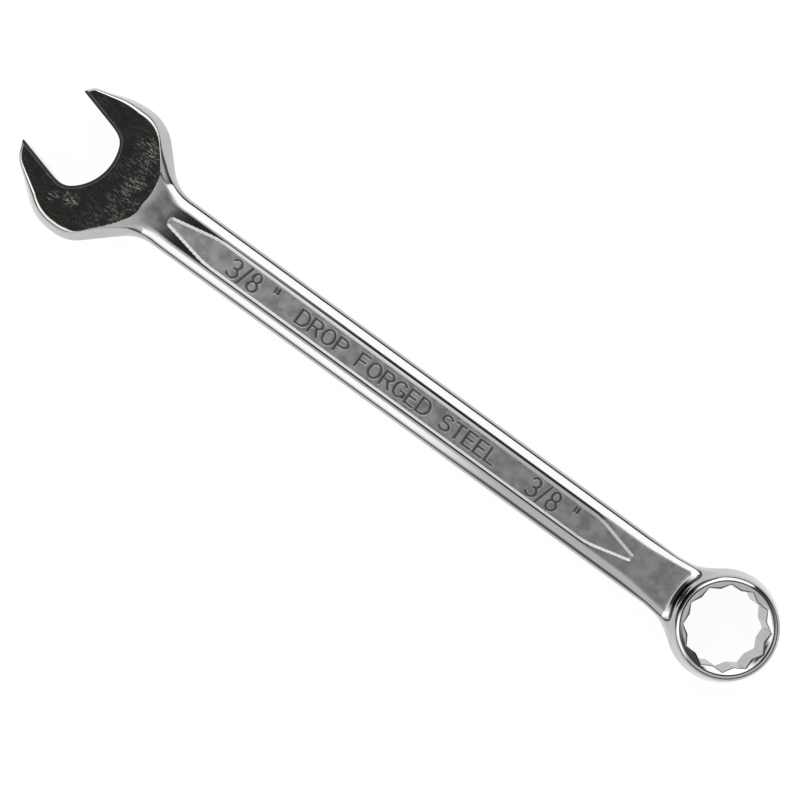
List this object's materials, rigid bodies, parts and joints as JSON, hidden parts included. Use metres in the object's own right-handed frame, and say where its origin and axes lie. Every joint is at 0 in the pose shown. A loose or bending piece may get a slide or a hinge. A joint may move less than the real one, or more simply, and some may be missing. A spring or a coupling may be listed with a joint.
{
  "type": "combination wrench",
  "caption": "Forged combination wrench: a round box end with a bi-hexagonal hole, a flat shank with a sunken panel on both faces, and an angled open end with fixed jaws.",
  "frame": {"origin": "on the axis of the box end's twelve-point hole, in the plane of the ring's underside", "axes": "+X along the shank from the box end to the open end, +Y across the shank towards the longer jaw, +Z along the hole's axis out of the upper face"},
  "size_m": [0.1163, 0.02, 0.0076],
  "materials": {
    "polished_chrome": "bright polished chrome plate",
    "satin_chrome": "chrome plate over a satin, tumbled surface, polished on the rails",
    "ground_chrome": "chrome plate over a ground and polished face with fine grinding lines"
  },
  "bodies": {
    "root": {"box_end_ring": "polished_chrome", "shank": "satin_chrome", "open_end_head": "ground_chrome"}
  },
  "joints": []
}
